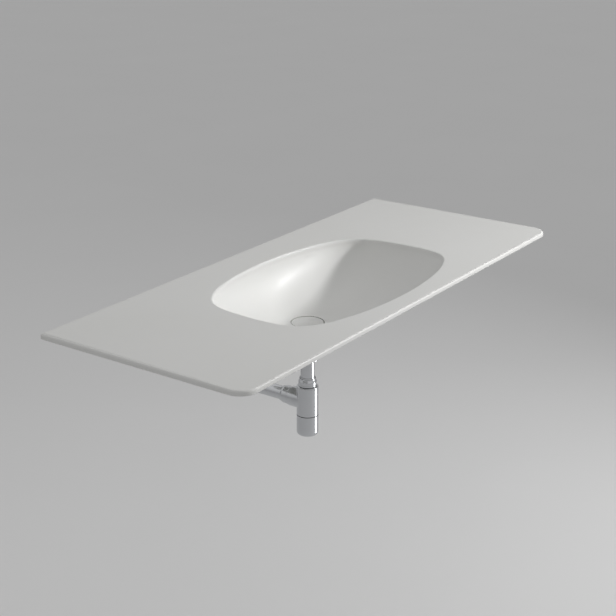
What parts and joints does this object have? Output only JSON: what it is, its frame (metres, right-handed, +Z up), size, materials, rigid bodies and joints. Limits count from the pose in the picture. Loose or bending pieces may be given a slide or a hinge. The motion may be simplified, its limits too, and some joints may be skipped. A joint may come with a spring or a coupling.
{
  "type": "wall-hung washbasin",
  "caption": "Wide, thin ceramic washbasin slab that hangs on a wall, with a dished bowl, a push-open waste under a ceramic cover and a chrome bottle trap.",
  "frame": {"origin": "in the wall's face, midway between the two inner wall bolts, 50 mm below the deck's top", "axes": "+X along the wall, to the right for someone facing it; +Y into the wall; +Z up"},
  "size_m": [1.2, 0.568, 0.388],
  "materials": {
    "ceramic": "satin white glaze",
    "chrome": "polished chrome plate",
    "brass": "turned, unplated",
    "zinc_steel": "bright zinc plate",
    "rubber": "matte moulded",
    "nylon": "moulded nylon"
  },
  "bodies": {
    "basin_fixed": {"basin": "ceramic", "bolt_sleeves": "nylon", "hanger_bolts": "zinc_steel", "bolt_washers": "zinc_steel", "bolt_nuts": "zinc_steel", "nut_caps": "nylon", "flange_gasket": "rubber", "waste_body": "chrome", "under_gasket": "rubber", "slide_washer": "nylon", "waste_locknut": "brass", "cartridge_body": "brass", "cartridge_spring": "zinc_steel", "coupling_nut": "chrome", "coupling_washer": "rubber", "dip_tube": "chrome", "inlet_slip_nut": "chrome", "inlet_seal": "rubber", "trap_body": "chrome", "outlet_slip_nut": "chrome", "outlet_seal": "rubber", "wall_pipe": "chrome"},
    "plug": {"plug_cover": "ceramic", "plug_carrier": "nylon", "plug_seal": "rubber", "plug_stem": "zinc_steel"},
    "cup_ring": {"cup_gasket": "rubber"},
    "cup": {"trap_cup": "chrome"},
    "rosette": {"wall_rosette": "chrome"}
  },
  "joints": [
    {"name": "plug_lift", "type": "slide", "parent": "basin_fixed", "child": "plug", "axis": [0, 0, 1], "range_m": [0, 0.008], "deforming": ["cartridge_spring"]},
    {"name": "cup_travel", "type": "slide", "parent": "basin_fixed", "child": "cup_ring", "axis": [0, 0, -1], "range_m": [0, 0.012]},
    {"name": "cup_turn", "type": "hinge", "parent": "cup_ring", "child": "cup", "pos_m": [0, -0.21, -0.3], "axis": [0, 0, -1], "range_deg": [0, 1440]},
    {"name": "rosette_slide", "type": "slide", "parent": "basin_fixed", "child": "rosette", "axis": [0, -1, 0], "range_m": [0, 0.1]}
  ],
  "couplings": [
    {"joint": "cup_turn", "follows": "cup_travel", "rad_per_m": 2094.4}
  ]
}
